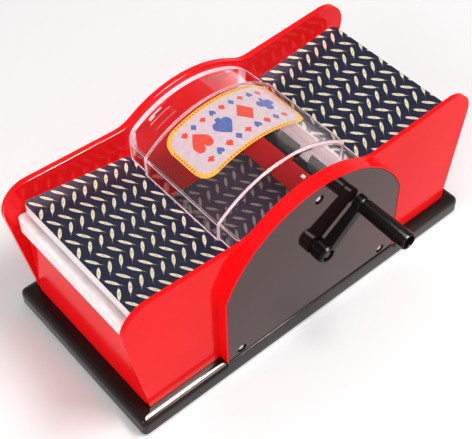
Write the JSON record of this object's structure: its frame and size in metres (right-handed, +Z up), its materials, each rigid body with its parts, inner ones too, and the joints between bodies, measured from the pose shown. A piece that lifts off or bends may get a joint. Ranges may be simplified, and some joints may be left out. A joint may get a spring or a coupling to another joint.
{
  "type": "card shuffler",
  "caption": "Hand-cranked playing-card shuffler: two sloped trays with loaded decks feed a centre well under a clear domed cover, driven by a side crank through gears.",
  "frame": {"origin": "middle of the whole object's footprint, on the surface its feet stand on", "axes": "+X along the two card trays, -Y towards the crank, +Z up"},
  "size_m": [0.2228, 0.1448, 0.1007],
  "materials": {
    "red_plastic": "glossy moulded red",
    "black_plastic": "glossy moulded black",
    "panel_plastic": "polished dark panel",
    "clear_plastic": "clear polished moulding",
    "steel": "bright zinc-plated steel",
    "brass": "turned brass",
    "nylon": "natural nylon",
    "rubber": "matte black rubber",
    "card": "coated paper with a satin finish"
  },
  "bodies": {
    "case": {"base_frame": "black_plastic", "rubber_foot_front_left": "rubber", "rubber_foot_front_right": "rubber", "rubber_foot_rear_left": "rubber", "rubber_foot_rear_right": "rubber", "rear_wall": "red_plastic", "front_wall": "red_plastic", "tray_left": "red_plastic", "tray_right": "red_plastic", "card_well": "red_plastic", "gear_cover": "panel_plastic", "gear_cover_screw_left": "steel", "gear_cover_screw_right": "steel", "gear_cover_screw_top": "steel", "crank_bush": "brass", "front_bush_left": "brass", "front_bush_right": "brass", "rear_bush_left": "brass", "rear_bush_right": "brass", "left_idler_stud": "steel", "right_idler_stud_inner": "steel", "right_idler_stud_outer": "steel"},
    "crank": {"crank_shaft": "steel", "drive_gear": "nylon", "crank_arm": "black_plastic", "crank_screw": "steel", "knob_pin": "steel"},
    "knob": {"crank_knob": "black_plastic"},
    "left_idler": {"left_idler_gear": "nylon"},
    "right_idler_inner": {"right_idler_gear_inner": "nylon"},
    "right_idler_outer": {"right_idler_gear_outer": "nylon"},
    "left_feed": {"feed_shaft_left": "steel", "feed_gear_left": "nylon", "roller_core_left": "nylon", "feed_tyre_left_front": "rubber", "feed_tyre_left_rear": "rubber"},
    "right_feed": {"feed_shaft_right": "steel", "feed_gear_right": "nylon", "roller_core_right": "nylon", "feed_tyre_right_front": "rubber", "feed_tyre_right_rear": "rubber"},
    "cover": {"clear_cover": "clear_plastic"},
    "left_deck": {"card_deck_left": "card"},
    "right_deck": {"card_deck_right": "card"},
    "shuffled_cards": {"shuffled_cards_1": "card", "shuffled_cards_2": "card", "shuffled_cards_3": "card", "shuffled_cards_4": "card"}
  },
  "joints": [
    {"name": "crank_turn", "type": "hinge", "parent": "case", "child": "crank", "pos_m": [0, -0.0379, 0.0578], "axis": [0, 1, 0], "continuous": true},
    {"name": "knob_spin", "type": "hinge", "parent": "crank", "child": "knob", "pos_m": [0.02408, -0.0424, 0.07466], "axis": [0, 1, 0], "continuous": true},
    {"name": "left_idler_spin", "type": "hinge", "parent": "case", "child": "left_idler", "pos_m": [-0.02654, -0.0336, 0.04887], "axis": [0, 1, 0], "continuous": true},
    {"name": "left_feed_spin", "type": "hinge", "parent": "case", "child": "left_feed", "pos_m": [-0.0475, 0.018, 0.0476], "axis": [0, 1, 0], "continuous": true},
    {"name": "right_idler_inner_spin", "type": "hinge", "parent": "case", "child": "right_idler_inner", "pos_m": [0.01762, -0.0336, 0.04302], "axis": [0, 1, 0], "continuous": true},
    {"name": "right_idler_outer_spin", "type": "hinge", "parent": "case", "child": "right_idler_outer", "pos_m": [0.03336, -0.0336, 0.04012], "axis": [0, 1, 0], "continuous": true},
    {"name": "right_feed_spin", "type": "hinge", "parent": "case", "child": "right_feed", "pos_m": [0.0475, 0.018, 0.0476], "axis": [0, 1, 0], "continuous": true},
    {"name": "cover_lift", "type": "slide", "parent": "case", "child": "cover", "axis": [0, 0, 1], "range_m": [0, 0.03]},
    {"name": "left_deck_slide", "type": "slide", "parent": "case", "child": "left_deck", "axis": [-0.9903, 0, 0.1392], "range_m": [0, 0.05]},
    {"name": "right_deck_slide", "type": "slide", "parent": "case", "child": "right_deck", "axis": [0.9903, 0, 0.1392], "range_m": [0, 0.05]},
    {"name": "shuffled_cards_lift", "type": "slide", "parent": "case", "child": "shuffled_cards", "axis": [0, 0, 1], "range_m": [0, 0.025]}
  ],
  "couplings": [
    {"joint": "left_idler_spin", "follows": "crank_turn", "ratio": -1.1538},
    {"joint": "left_feed_spin", "follows": "crank_turn", "ratio": 1.875},
    {"joint": "right_idler_inner_spin", "follows": "crank_turn", "ratio": -1.875},
    {"joint": "right_idler_outer_spin", "follows": "crank_turn", "ratio": 1.875},
    {"joint": "right_feed_spin", "follows": "crank_turn", "ratio": -1.875}
  ]
}
